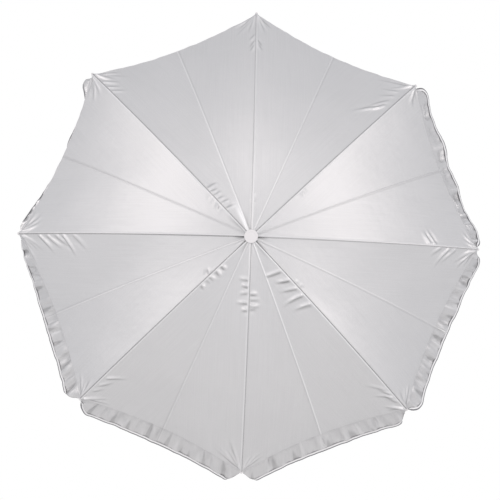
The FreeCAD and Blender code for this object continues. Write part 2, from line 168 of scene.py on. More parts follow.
def foldList(k, side):
    chance = random.Random(1000 * k + 10 * side + 7)
    found = []
    (count, first, last, length), *strokes = folds["tips"][(k, side)]
    for i in range(count):
        angle = first + (last - first) * i / max(count - 1, 1) + chance.uniform(-3, 3)
        found.append({
            "start": 0.004, "angle": math.radians(angle), "length": length * chance.uniform(0.65, 1.1),
            "bend": chance.uniform(-1.6, 2.4), "size": chance.uniform(0.6, 1.15), "fan": True, "gap": 0.0,
        })
    rows = [row[:5] + (1.0, row[5] if len(row) > 5 else 0.0) for row in strokes]
    rows += [row[1:] + (0.0,) for row in folds["puckers"].get(k, []) if row[0] == side]
    for count, near, far, slant, length, size, gap in rows:
        for i in range(count):
            start = near + (far - near) * (i + 0.5) / count + chance.uniform(-0.003, 0.003)
            found.append({
                "start": start, "angle": math.radians(slant + chance.uniform(-7, 7)),
                "length": length * chance.uniform(0.6, 1.15), "bend": chance.uniform(-4.0, 4.0),
                "size": size * chance.uniform(0.55, 1.1), "fan": False, "gap": gap,
            })
    return found


def foldShape(k, side, theta, fromRib):
    # the height of the folds, and the painted highlight and painted shade along them
    inward = domeRadius * (rimAngle - theta) + fromRib * math.sin(halfPanel)  # from the tip, along the rib
    away = fromRib * math.cos(halfPanel)
    height, paintedFold = np.zeros_like(theta), np.zeros_like(theta)
    for fold in foldList(k, side):
        cosine, sine = math.cos(fold["angle"]), math.sin(fold["angle"])
        along = (inward - fold["start"]) * cosine + away * sine
        off = -(inward - fold["start"]) * sine + away * cosine - fold["bend"] * along ** 2
        gap, length = fold["gap"], fold["gap"] + fold["length"]
        ends = smooth(gap, gap + folds["rise"] * length, along)
        ends = ends * (1 - smooth(folds["fade"] * length, length, along))
        spread = folds["fanWidth"] + folds["fanSpread"] * np.clip(along, 0, 0.1)
        width = folds["width"] * (spread if fold["fan"] else folds["strokeWidth"])
        height += fold["size"] * ends * (bell(off, width) - folds["hollow"] * bell(off - 1.7 * width, 1.2 * width))
        paintedFold += fold["size"] * ends * (folds["paintedFoldLight"] * bell(off + 0.5 * width, 0.8 * width)
                                       - folds["paintedFoldShade"] * bell(off - 1.0 * width, 0.6 * width))
    free = 1 - bell(fromRib, folds["ribClear"])
    return folds["height"] * height * free, np.clip(paintedFold, -0.7, 0.9) * free


# softer waves: along the hem, round the cap, and over the whole cloth

waves = {
    "hemHeight": 0.0006, "hemReach": 0.030, "hemLengths": (0.052, 0.034, 0.023),
    "gatherHeight": 0.0010, "gathersPerPanel": 3, "gatherPlace": 0.022, "gatherReach": 0.014,
    "gatherShare": {3: 1.7, 4: 1.1, 5: 0.9, 6: 1.7, 7: 0.7, 8: 0.9},  # by panel, clockwise from the top rib
    "broadHeight": 0.0011, "broadSize": 0.085,
    "crinkleHeight": 0.00016, "crinkleSize": 0.011,
    "capRadius": 0.0146, "capFade": 0.007,
    "tied": 0.012,  # how far from a rib the cloth is held still
}


def hemWave(panel, place, lengths):
    chance = random.Random(400 + panel)
    total = np.zeros_like(place)
    for i, length in enumerate(lengths):
        total += np.sin(2 * math.pi * place / length + chance.uniform(0, 6.28)) / (1 + 0.5 * i)
    return total / 1.6


def noiseField(points, size, seed):
    flat = (points.reshape(-1, 3) / size) + seed
    values = np.array([noise.noise(Vector(p)) for p in flat])
    return values.reshape(points.shape[:-1])


def panelNumber(k, side):
    return k if side > 0 else (k - 2) % umbrella["ribs"] + 1


def softHeight(k, side, theta, fromRib, points):
    halfWidth = halfWidthAt(theta)
    inward = domeRadius * (rimAngle - theta)
    fromAxis = domeRadius * np.sin(theta)
    place = -side * (halfWidth - fromRib)  # along the hem from the middle of the panel
    tied = 1 - bell(fromRib, waves["tied"])
    total = waves["hemHeight"] * hemWave(panelNumber(k, side), place, waves["hemLengths"]) \
        * bell(inward, waves["hemReach"]) * tied
    share = (halfWidth - fromRib) / np.maximum(halfWidth, 1e-6)
    gather = np.cos(share * math.pi * waves["gathersPerPanel"])
    gatherSize = waves["gatherHeight"] * waves["gatherShare"].get(panelNumber(k, side), 0.5)
    total += gatherSize * gather * tied * bell(fromAxis - waves["gatherPlace"], waves["gatherReach"])
    total += waves["broadHeight"] * noiseField(points, waves["broadSize"], 3.1) * tied
    total += waves["crinkleHeight"] * noiseField(points, waves["crinkleSize"], 8.7)
    return total


# sewn seams: a flat felled strip over each rib, a finer one down each panel

seams = {
    "ribHalf": 0.0023, "ribRise": 0.00065, "ribGroove": 0.00035, "grooveWidth": 0.0005,
    "middleHalf": 0.0011, "middleRise": 0.00038,
    "softEdge": (0.0004, 0.0003),  # rib, middle
    "darkLine": (0.0011, 0.0010),  # from the middle of the rib seam, width
    "lightLine": (0.0017, 0.0011),
    "toneWidth": 0.0010,
    "shadow": (0.15, 0.0022),  # beside the middle seam: tone, place
    # how dark the painted shade along one side of each rib seam is, and which side gets a painted highlight and how
    # much
    "dark": {1: 0.40, 2: 0.85, 3: 0.70, 4: 1.0, 5: 0.60, 6: 0.95, 7: 1.0, 8: 0.85},
    "light": {1: (1, 0.6), 2: (1, 0.8), 3: (-1, 0.6), 4: (1, 1.3), 5: (1, 0.7), 6: (-1, 0.8), 7: (1, 0.5),
              8: (-1, 0.9)},
    # painted highlight (above zero) or painted shade (below zero) along the seam down the middle of each panel,
    # clockwise from the top rib
    "middleShading": {1: 0.5, 2: -0.12, 3: 0.3, 4: 1.1, 5: 0.4, 6: 0.3, 7: -0.13, 8: 0.7},
}
# painted light and shade of the pleats beside the crown cap: tone, beside the rib or the panel seam, where it fades
# out
capPleatShading = {
    (7, -1): (-0.75, "rib", 0.040), (3, 1): (-0.70, "rib", 0.040), (4, -1): (-0.35, "rib", 0.050),
    (8, -1): (-0.45, "rib", 0.075), (8, 1): (1.3, "seam", 0.100), (6, -1): (-0.30, "seam", 0.050),
    (4, 1): (-0.30, "rib", 0.070), (1, -1): (-0.25, "seam", 0.060), (6, 1): (-0.35, "rib", 0.035),
}


def seamHeight(signed, fromMiddle):
    ribEdge, middleEdge = seams["softEdge"]
    strip = 1 - smooth(seams["ribHalf"] - ribEdge, seams["ribHalf"] + ribEdge, np.abs(signed))
    middle = 1 - smooth(seams["middleHalf"] - middleEdge, seams["middleHalf"] + middleEdge, fromMiddle)
    groove = seams["ribGroove"] * bell(signed, seams["grooveWidth"])
    return seams["ribRise"] * strip - groove + seams["middleRise"] * middle


def seamTone(k, side, signed, fromMiddle):
    # painted shade and highlight along the seams: below zero darkens the cloth, above zero lightens it
    pressed, light = seams["light"][k]
    place, (darkAt, darkWidth), (lightAt, lightWidth) = signed * pressed, seams["darkLine"], seams["lightLine"]
    tone = -seams["dark"][k] * bell(place + darkAt, darkWidth) + light * bell(place - lightAt, lightWidth)
    tone += seams["middleShading"][panelNumber(k, side)] * bell(fromMiddle, seams["toneWidth"])
    shadow, shadowAt = seams["shadow"]
    return tone - shadow * (side < 0) * bell(fromMiddle - shadowAt, seams["toneWidth"])


def pleatTone(k, side, theta, fromRib):
    # painted light and shade beside the crown cap
    if (k, side) not in capPleatShading:
        return np.zeros_like(theta)
    tone, beside, fade = capPleatShading[(k, side)]
    fromAxis = domeRadius * np.sin(theta)
    place = fromRib if beside == "rib" else halfWidthAt(theta) - fromRib
    width = 0.0012 + 0.06 * fromAxis
    return tone * bell(place - 0.9 * width, width) * (1 - smooth(0.4 * fade, fade, fromAxis))


def clothPoints(k, theta, fromRib, side):
    points, normals = panelPoints(k, theta, fromRib, side)
    height = foldShape(k, side, theta, fromRib)[0] + softHeight(k, side, theta, fromRib, points)
    height *= smooth(waves["capRadius"], waves["capRadius"] + waves["capFade"], domeRadius * np.sin(theta))
    height = np.maximum(height, -0.0011 - 0.0012 * smooth(0.006, 0.014, fromRib))
    height += seamHeight(side * fromRib, halfWidthAt(theta) - fromRib) \
        * smooth(waves["capRadius"], waves["capRadius"] + 0.004, domeRadius * np.sin(theta))
    return points + height[..., None] * normals, normals


# mesh helpers


def newObject(name, data):
    piece = bpy.data.objects.new(name, data)
    bpy.context.scene.collection.objects.link(piece)
    return piece


def meshObject(name, vertices, faces, materials=(), faceMaterial=None):
    mesh = bpy.data.meshes.new(name)
    mesh.from_pydata([tuple(v) for v in vertices], [], faces)
    for material in materials:
        mesh.materials.append(material)
    if faceMaterial is not None:
        mesh.polygons.foreach_set("material_index", np.asarray(faceMaterial, np.int32))
    mesh.polygons.foreach_set("use_smooth", np.ones(len(mesh.polygons), bool))
    mesh.update()
    return newObject(name, mesh)


def gridFaces(rows, columns, offset=0, turned=False):
    faces = []
    for r in range(rows - 1):
        base = offset + r * columns
        for c in range(columns - 1):
            quad = (base + c, base + c + 1, base + columns + c + 1, base + columns + c)
            faces.append(quad[::-1] if turned else quad)
    return faces


def borderLoop(rows, columns):
    loop = [c for c in range(columns)]
    loop += [r * columns + columns - 1 for r in range(1, rows)]
    loop += [(rows - 1) * columns + c for c in range(columns - 2, -1, -1)]
    loop += [r * columns for r in range(rows - 2, 0, -1)]
    return loop


def clothShell(outer, inner, offset=0):
    # a thin closed shell: outer face, inner face and the cut edge between them
    rows, columns = outer.shape[:2]
    count = rows * columns
    middle = (rows // 2, columns // 2)
    alongRow = outer[middle[0], middle[1] + 1] - outer[middle]
    alongColumn = outer[middle[0] + 1, middle[1]] - outer[middle]
    turned = np.dot(np.cross(alongRow, alongColumn), outer[middle] - inner[middle]) < 0
    faces = gridFaces(rows, columns, offset, turned)
    kinds = [0] * len(faces)
    back = gridFaces(rows, columns, offset + count, not turned)
    faces += back
    kinds += [1] * len(back)
    loop = borderLoop(rows, columns)
    for i, a in enumerate(loop):
        b = loop[(i + 1) % len(loop)]
        quad = (offset + b, offset + a, offset + a + count, offset + b + count)
        faces.append(quad[::-1] if turned else quad)
        kinds.append(0)
    return np.concatenate([outer.reshape(-1, 3), inner.reshape(-1, 3)]), faces, kinds


def setMap(mesh, name, coordinates):
    layer = mesh.uv_layers.new(name=name)
    corners = np.empty(len(mesh.loops), np.int32)
    mesh.loops.foreach_get("vertex_index", corners)
    layer.data.foreach_set("uv", np.asarray(coordinates, np.float32)[corners].ravel())


def setValue(mesh, name, values):
    attribute = mesh.attributes.new(name, "FLOAT", "POINT")
    attribute.data.foreach_set("value", np.asarray(values, np.float32))


def tube(path, normals, width, depth, sides):
    # a closed tube of flattened section along a path
    path, normals = np.asarray(path), np.asarray(normals)
    along = unit(np.gradient(path, axis=0))
    across = unit(np.cross(along, normals))
    up = np.cross(across, along)
    width = np.broadcast_to(width, len(path))[:, None]
    depth = np.broadcast_to(depth, len(path))[:, None]
    rings = []
    for i in range(sides):
        angle = 2 * math.pi * i / sides
        rings.append(path + across * width * math.cos(angle) + up * depth * math.sin(angle))
    vertices = np.stack(rings, axis=1).reshape(-1, 3)
    faces = []
    for r in range(len(path) - 1):
        for i in range(sides):
            j = (i + 1) % sides
            faces.append((r * sides + i, (r + 1) * sides + i, (r + 1) * sides + j, r * sides + j))
    faces.append(tuple(range(sides)))
    last = (len(path) - 1) * sides
    faces.append(tuple(last + i for i in range(sides - 1, -1, -1)))
    return vertices, faces


# shader helpers

def feed(tree, socket, value):
    if isinstance(value, bpy.types.NodeSocket):
        tree.links.new(value, socket)
    else:
        socket.default_value = value


def put(tree, kind, inputs=None, **settings):
    node = tree.nodes.new(kind)
    for key, value in settings.items():
        setattr(node, key, value)
    for key, value in (inputs or {}).items():
        feed(tree, node.inputs[key], value)
    return node


def blendColour(tree, factor, first, second, mode="MIX"):
    node = put(tree, "ShaderNodeMix", data_type="RGBA", blend_type=mode, clamp_factor=True)
    for place, value in ((0, factor), (6, first), (7, second)):
        feed(tree, node.inputs[place], value)
    return node.outputs[2]


def maths(tree, operation, *values):
    node = put(tree, "ShaderNodeMath", operation=operation)
    for socket, value in zip(node.inputs, values):
        feed(tree, socket, value)
    return node.outputs[0]


def cloudy(tree, vector, scale, detail, roughness=0.5):
    return put(tree, "ShaderNodeTexNoise", {"Vector": vector, "Scale": scale, "Detail": detail,
                                            "Roughness": roughness}).outputs["Fac"]


def newGroup(name, inputs, outputs, kind="Shader"):
    # each input is a number, or the kind of its socket
    tree = bpy.data.node_groups.new(name, kind + "NodeTree")
    for label, value in inputs.items():
        other = isinstance(value, str)
        socket = tree.interface.new_socket(name=label, in_out="INPUT",
                                           socket_type="NodeSocket" + (value if other else "Float"))
        if not other:
            socket.default_value = value
    for label, value in outputs.items():
        tree.interface.new_socket(name=label, in_out="OUTPUT", socket_type="NodeSocket" + value)
    return tree, tree.nodes.new("NodeGroupInput").outputs, tree.nodes.new("NodeGroupOutput").inputs


def newMaterial(name, **constants):
    material = bpy.data.materials.new(name)
    material.use_nodes = True
    tree = material.node_tree
    shader = tree.nodes["Principled BSDF"]
    for label, value in constants.items():
        shader.inputs[label].default_value = value
    return material, tree, shader


def grey(value, warmth=0.0):
    return (value * (1 + warmth), value, value * (1 - warmth), 1.0)


# woven cloth: threads both ways, slubs along the warp
weaveGroup, weaveIn, weaveOut = newGroup(
    "clothWeave", {"Vector": "Vector", "Thread Spacing": 0.0004, "Contrast": 0.05, "Slub": 0.05},
    {"Shade": "Float", "Height": "Float"})
waveScale = maths(weaveGroup, "DIVIDE", 0.31416, weaveIn["Thread Spacing"])
warp, weft = [put(weaveGroup, "ShaderNodeTexWave", {"Vector": weaveIn["Vector"], "Scale": waveScale},
                  wave_type="BANDS", bands_direction=way) for way in "XY"]
threads = maths(weaveGroup, "MULTIPLY", warp.outputs["Fac"], weft.outputs["Fac"])
stretchMap = put(weaveGroup, "ShaderNodeMapping", {"Vector": weaveIn["Vector"], "Scale": (420.0, 9.0, 1.0)})
slub = cloudy(weaveGroup, stretchMap.outputs[0], 1.0, 3.0)
slubShade, threadShade = [
    maths(weaveGroup, "MULTIPLY", maths(weaveGroup, "SUBTRACT", value, middle), weaveIn[label])
    for value, middle, label in ((slub, 0.5, "Slub"), (threads, 0.25, "Contrast"))]
weaveGroup.links.new(maths(weaveGroup, "ADD", maths(weaveGroup, "ADD", slubShade, threadShade), 1.0),
                     weaveOut["Shade"])
weaveGroup.links.new(threads, weaveOut["Height"])

# handling marks: cloudy smudges and fine scratches
wearGroup, wearIn, wearOut = newGroup(
    "handlingWear", {"Vector": "Vector", "Smudge Scale": 30.0, "Scratch Scale": 400.0, "Amount": 0.3},
    {"Mask": "Float", "Scratch": "Float"})
smudge = cloudy(wearGroup, wearIn["Vector"], wearIn["Smudge Scale"], 4.0)
scratchMap = put(wearGroup, "ShaderNodeMapping",
                 {"Vector": wearIn["Vector"], "Rotation": (0.3, 0.5, 0.2), "Scale": (1.0, 0.06, 1.0)})
scratch = cloudy(wearGroup, scratchMap.outputs[0], wearIn["Scratch Scale"], 1.0)
for label, value, low, high in (("Mask", smudge, 0.45, 0.75), ("Scratch", scratch, 0.62, 0.70)):
    mask = put(wearGroup, "ShaderNodeMapRange", {"Value": value, "From Min": low, "From Max": high})
    wearGroup.links.new(maths(wearGroup, "MULTIPLY", mask.outputs[0], wearIn["Amount"]), wearOut[label])

# deep and pale: the colours that the painted shade and painted highlight blend towards
clothTone = {"deep": 0.12, "pale": 0.97, "cloudScale": 7.0, "crinkleScale": 130.0}


def clothMaterial(name, finish):
    material, tree, shader = newMaterial(name, **{
        "Metallic": finish["metallic"], "Specular IOR Level": finish["specular"],
    })
    place = put(tree, "ShaderNodeUVMap", uv_map="cloth")
    position = put(tree, "ShaderNodeTexCoord").outputs["Object"]
    weave = put(tree, "ShaderNodeGroup", {
        "Vector": place.outputs[0], "Thread Spacing": finish["thread"], "Contrast": finish["contrast"],
        "Slub": finish["slub"]}, node_tree=weaveGroup)
    cloud = cloudy(tree, position, clothTone["cloudScale"], 4.0, 0.6)
    base = blendColour(tree, cloud, *[grey(finish[end], finish["warmth"]) for end in ("low", "high")])
    shade = put(tree, "ShaderNodeCombineColor", {i: weave.outputs["Shade"] for i in range(3)})
    base = blendColour(tree, 1.0, base, shade.outputs[0], "MULTIPLY")
    # painted shade (below zero) and painted highlight (above zero) from the seams, folds, pleats and flap creases,
    # stored on the mesh
    tone = put(tree, "ShaderNodeAttribute", attribute_name="seamTone", attribute_type="GEOMETRY")
    for strength, colour in ((-finish["paintedShadeStrength"], "deep"), (finish["paintedLightStrength"], "pale")):
        amount = maths(tree, "MULTIPLY", tone.outputs["Fac"], strength)
        base = blendColour(tree, maths(tree, "MAXIMUM", amount, 0.0), base, grey(clothTone[colour]))
    tree.links.new(base, shader.inputs["Base Color"])
    rough = maths(tree, "ADD", maths(tree, "MULTIPLY", cloud, 0.06), finish["roughness"] - 0.03)
    tree.links.new(rough, shader.inputs["Roughness"])
    crinkle = cloudy(tree, position, clothTone["crinkleScale"], 3.0, 0.55)
    soft = put(tree, "ShaderNodeBump", {"Height": crinkle, "Strength": finish["crinkle"], "Distance": 0.0006})
    woven = put(tree, "ShaderNodeBump", {"Height": weave.outputs["Height"], "Normal": soft.outputs[0],
                                         "Strength": 0.35, "Distance": 0.00006})
    tree.links.new(woven.outputs[0], shader.inputs["Normal"])
    return material


clothFinish = {"warmth": 0.0, "metallic": 0.45, "specular": 0.4, "thread": 0.00042, "contrast": 0.10,
               "slub": 0.10, "crinkle": 0.25}
outerCloth = clothMaterial("satinSilverOutside", clothFinish | {
    "low": 0.64, "high": 0.70, "roughness": 0.40, "paintedShadeStrength": 0.95, "paintedLightStrength": 0.75})
innerCloth = clothMaterial("silverCoatingInside", clothFinish | {
    "low": 0.78, "high": 0.84, "warmth": 0.004, "metallic": 0.75, "roughness": 0.30, "specular": 0.5,
    "contrast": 0.06, "slub": 0.06, "paintedShadeStrength": 0.25, "paintedLightStrength": 0.2})
# the flap: the outside satin made a little darker, as painted shade
flapCloth = clothMaterial("satinSilverFlap", clothFinish | {
    "low": 0.60, "high": 0.67, "roughness": 0.38, "crinkle": 0.3, "paintedShadeStrength": 0.7, "paintedLightStrength": 0.6})


def plainMaterial(name, finish):
    # moulded, painted and metal parts: tone variation, wear and a fine bump on Object coordinates
    material, tree, shader = newMaterial(name, **{
        "Metallic": finish.get("metallic", 0.0), "Coat Weight": finish.get("coat", 0.0),
        "Coat Roughness": 0.15, "Sheen Weight": finish.get("sheen", 0.0),
    })
    position = put(tree, "ShaderNodeTexCoord").outputs["Object"]
    stretched = put(tree, "ShaderNodeMapping",
                    {"Vector": position, "Scale": finish.get("grain", (1.0, 1.0, 1.0))})
    fine = cloudy(tree, stretched.outputs[0], finish["scale"], 3.0, 0.6)
    wear = put(tree, "ShaderNodeGroup", {"Vector": position, "Smudge Scale": 45.0, "Scratch Scale": 700.0,
                                         "Amount": finish.get("wear", 0.3)}, node_tree=wearGroup)
    base = blendColour(tree, fine, finish["low"], finish["high"])
    base = blendColour(tree, wear.outputs["Mask"], base, finish.get("worn", finish["high"]))
    base = blendColour(tree, wear.outputs["Scratch"], base, finish.get("scratched", finish["high"]))
    # painted shade towards the tape's edges
    if "edge" in finish:
        edge = put(tree, "ShaderNodeAttribute", attribute_name="paintedEdgeShade", attribute_type="GEOMETRY")
        base = blendColour(tree, edge.outputs["Fac"], base, finish["edge"])
    tree.links.new(base, shader.inputs["Base Color"])
    rough = maths(tree, "ADD", maths(tree, "MULTIPLY", wear.outputs["Mask"], 0.25),
                  maths(tree, "ADD", maths(tree, "MULTIPLY", fine, 0.10), finish["roughness"] - 0.05))
    tree.links.new(rough, shader.inputs["Roughness"])
    bump = put(tree, "ShaderNodeBump", {"Height": fine, "Strength": finish.get("bump", 0.2),
                                        "Distance": finish.get("depth", 0.0001)})
    tree.links.new(bump.outputs[0], shader.inputs["Normal"])
    return material


plainFinish = {
    "whiteMoulding": {
        "low": (0.76, 0.745, 0.745, 1), "high": (0.81, 0.795, 0.795, 1), "worn": (0.72, 0.71, 0.705, 1),
        "scale": 900.0, "roughness": 0.34, "coat": 0.15, "wear": 0.25, "bump": 0.12},
    "blackMoulding": {
        "low": (0.016, 0.016, 0.017, 1), "high": (0.028, 0.028, 0.030, 1), "worn": (0.055, 0.054, 0.052, 1),
        "scratched": (0.09, 0.09, 0.09, 1), "scale": 2400.0, "roughness": 0.46, "wear": 0.45, "bump": 0.35},
    "washerPlastic": {
        "low": (0.05, 0.05, 0.052, 1), "high": (0.08, 0.08, 0.082, 1), "scale": 1500.0, "roughness": 0.55},
    "blackRibPaint": {
        "low": (0.012, 0.012, 0.013, 1), "high": (0.022, 0.022, 0.023, 1), "worn": (0.04, 0.04, 0.04, 1),
        "scratched": (0.28, 0.28, 0.29, 1), "scale": 1800.0, "roughness": 0.34, "coat": 0.3, "wear": 0.35,
        "bump": 0.15},
    "brushedSteel": {
        "low": (0.42, 0.42, 0.43, 1), "high": (0.60, 0.60, 0.61, 1), "worn": (0.36, 0.35, 0.34, 1),
        "metallic": 1.0, "scale": 900.0, "grain": (1.0, 0.12, 1.0), "roughness": 0.32, "wear": 0.4,
        "bump": 0.15},
    "drawnAluminium": {
        "low": (0.66, 0.66, 0.67, 1), "high": (0.78, 0.78, 0.79, 1), "worn": (0.58, 0.58, 0.58, 1),
        "scratched": (0.50, 0.50, 0.50, 1), "metallic": 1.0, "scale": 1400.0, "grain": (1.0, 0.02, 1.0),
        "roughness": 0.28, "wear": 0.35, "bump": 0.12},
    "gripRubber": {
        "low": (0.020, 0.020, 0.021, 1), "high": (0.034, 0.034, 0.035, 1), "worn": (0.07, 0.07, 0.068, 1),
        "scale": 1300.0, "roughness": 0.72, "wear": 0.5, "bump": 0.5, "depth": 0.0002},
    "whiteBindingTape": {
        "low": (0.86, 0.86, 0.86, 1), "high": (0.93, 0.93, 0.93, 1), "worn": (0.82, 0.82, 0.81, 1),
        # edge: the colour of the painted shade at the tape's edges
        "edge": (0.16, 0.16, 0.17, 1), "scale": 2600.0, "roughness": 0.75, "sheen": 0.1, "wear": 0.25,
        "bump": 0.6, "depth": 0.00015},
    "silverThread": {"low": (0.62, 0.62, 0.63, 1), "high": (0.78, 0.78, 0.79, 1), "scale": 3000.0,
                     "roughness": 0.55, "bump": 0.4, "wear": 0.1},
    "whiteThread": {"low": (0.80, 0.80, 0.79, 1), "high": (0.90, 0.90, 0.89, 1), "scale": 3000.0,
                    "roughness": 0.6, "bump": 0.4, "wear": 0.1},
}
plain = {name: plainMaterial(name, finish) for name, finish in plainFinish.items()}
print("materials made")

# which CAD nodes have which finish; a star stands for the number of a rib
nodeFinish = {
    "whiteMoulding": "crown_cap rib_tip_*", "blackMoulding": "shaft_end_plug top_notch runner",
    "washerPlastic": "crown_washer", "blackRibPaint": "rib_* stretcher_*", "drawnAluminium": "shaft_tube",
    "brushedSteel": "notch_wire shaft_cross_pins lower_stop_ring catch_lever runner_wire rib_clip_*",
    "gripRubber": "runner_grip",
}
for finish, names in nodeFinish.items():
    for name in names.split():
        for k in range(1, umbrella["ribs"] + 1) if "*" in name else (0,):
            slots = nodes[name.replace("*", str(k))].data.materials
            slots.clear()
            slots.append(plain[finish])


# canopy: one curved sheet per rib, from the seam of one panel to the seam of the next

canopyGrid = {
    # how far from the crown each zone of rows ends, and how far apart its rows are
    "zones": [(0.045, 0.0018), (0.165, 0.0026), (0.390, 0.0040), (None, 0.0023)],
    "columns": 58,  # each side of a rib, between the two seam bands, closer together near the rib
    "crowding": 1.25,
    "ribBand": (0.0, 0.0005, 0.0010, 0.0015, 0.0020, 0.0026, 0.0032, 0.0044),
    "middleBand": (0.0, 0.0005, 0.0009, 0.0014, 0.0024),
    "narrow": 0.022,  # below this half width the bands are squeezed
    "lastRow": 0.0009,  # before the hem
    "thickness": 0.00045,
}
# the cloth gathers more towards the hem as the umbrella closes, so it is made in eight lengths that
# meet edge to edge: where each ends, from the crown, and the share of its width kept when closed
canopyLengths = {
    "canopy_a": (0.030, 0.98), "canopy_b": (0.055, 0.90), "canopy_c": (0.090, 0.71), "canopy_d": (0.140, 0.60),
    "canopy_e": (0.205, 0.51), "canopy_f": (0.290, 0.43), "canopy_g": (0.390, 0.35), "canopy_h": (0.600, 0.28),
}


def rowAngles(first, last):
    start, rows = umbrella["crownHole"], []
    hem = rimAngle * domeRadius
    for end, step in canopyGrid["zones"]:
        end = end or hem
        rows.append(np.linspace(start, end, int((end - start) / step) + 1, endpoint=False))
        start = end
    rows.append(np.array([hem - canopyGrid["lastRow"], hem]))
    rows = np.sort(np.concatenate(rows))
    begin, end = np.argmin(np.abs(rows - first)), np.argmin(np.abs(rows - last))
    return rows[begin:end + 1] / domeRadius


def columnOffsets(halfWidth):
    squeeze = np.minimum(1.0, halfWidth / canopyGrid["narrow"])
    near = np.array(canopyGrid["ribBand"])[None, :] * squeeze[:, None]
    far = halfWidth[:, None] - np.array(canopyGrid["middleBand"])[None, ::-1] * squeeze[:, None]
    share = np.linspace(0, 1, canopyGrid["columns"] + 1)[1:-1] ** canopyGrid["crowding"]
    between = near[:, -1:] + (far[:, :1] - near[:, -1:]) * share[None, :]
    return np.concatenate([near, between, far], axis=1)


def makeCanopy(name, angles, k):
    offsets = columnOffsets(halfWidthAt(angles))
    theta = np.repeat(angles[:, None], offsets.shape[1], axis=1)
    halves = []
    for side in (-1, 1):
        points, normals = clothPoints(k, theta, offsets, side)
        # painted light and shade of the seams, folds and cap pleats
        tone = seamTone(k, side, side * offsets, halfWidthAt(theta) - offsets)
        tone += foldShape(k, side, theta, offsets)[1] + pleatTone(k, side, theta, offsets)
        place = np.stack([side * offsets, theta * domeRadius], axis=-1)
        halves.append((points, normals, tone, place))
    joined = [np.concatenate([halves[0][i][:, :0:-1], halves[1][i]], axis=1) for i in range(4)]
    points, normals, tone, place = joined
    outer = points + normals * canopyGrid["thickness"]
    vertices, faces, kinds = clothShell(outer, points)
    piece = meshObject(f"{name}_{k}", vertices, faces, (outerCloth, innerCloth), kinds)
    setMap(piece.data, "cloth", np.tile(place.reshape(-1, 2), (2, 1)))
    setValue(piece.data, "seamTone", np.tile(tone.ravel(), 2))
    piece.data.set_sharp_from_angle(angle=math.radians(60))
    return piece


# valance: a flap on the hem of each panel, cut back to the tips

flap = {
    "drop": 0.042, "cutBack": 0.038, "cutPower": 1.6, "lean": 0.36, "droop": 1.16,
    "end": 0.004,  # from the rib
    "corner": (0.020, 0.024),  # where the cut corner turns outwards, and over how much cloth
    "turn": (0.35, 0.22),  # share of the drop over which the cloth turns down, how much quicker at the top
    "columnStep": 0.0022, "rows": 15, "thickness": 0.00045,
    "tuck": 0.004, "gap": 0.0007,  # sewn behind the hem
    "rippleLengths": (0.047, 0.029, 0.019), "rippleSeed": 50,
    "rippleBottom": 0.0042, "rippleSide": 0.0056, "rippleTop": 0.0026,
    "creaseLengths": (0.041, 0.024, 0.015), "creaseSeed": 90,
    # the crease tones: painted shade in the pressed creases, painted highlight on the raised ones
    "creaseHeight": 0.0026, "creaseShade": 0.55, "creaseHighlight": 0.45,
    "crinkleSize": 0.012, "crinkleHeight": 0.0005,
    "seamTone": (0.4, 0.0008),  # middle seam: painted highlight, width
    "seamShadow": (0.2, 0.0019, 0.0009),  # tone, place, width
    # painted shadow along the flap just above the binding
    "edgeTone": 0.7,
}
# how far the cut corner, the half panel and its end at the middle seam turn outwards, how sharp the ripples are
flapHabit = {
    (1, -1): (0.9, 0.0, 0.0, 0.4), (2, 1): (0.35, 1.15, 0.90, 0.9), (3, -1): (0.0, 0.45, 0.90, 0.9),
    (3, 1): (-0.1, 0.35, 0.35, 0.8), (4, -1): (0.3, 0.25, 0.35, 0.8), (4, 1): (0.0, 0.08, 0.25, 0.6),
    (5, -1): (0.0, 0.05, 0.25, 0.45), (5, 1): (0.0, 0.05, 0.25, 0.45), (6, -1): (0.0, 0.05, 0.25, 0.5),
    (6, 1): (0.3, 0.25, 0.25, 0.8), (7, -1): (-0.2, 0.0, 0.25, 0.8), (7, 1): (0.0, 0.0, 0.1, 0.5),
    (8, -1): (0.8, 0.35, 0.1, 0.5),
}
plainHabit = (0.0, 0.0, 0.0, 0.45)
halfHem = float(halfWidthAt(np.array([rimAngle]))[0])


def flapDrop(fromRib):
    t = np.clip(fromRib / flap["cutBack"], 0, 1)
    return flap["drop"] * (1 - (1 - t) ** flap["cutPower"])


def flapLean(low, fromRib, corner, along, middle):
    share = fromRib / halfHem
    cornerAt, cornerWidth = flap["corner"]
    lean = flap["lean"] + flap["droop"] * low + corner * bell(fromRib - cornerAt, cornerWidth)
    lean += along * smooth(0.0, 0.02, fromRib) * (1 - smooth(0.7, 1.0, share))
    return lean + middle * smooth(0.5, 1.0, share)


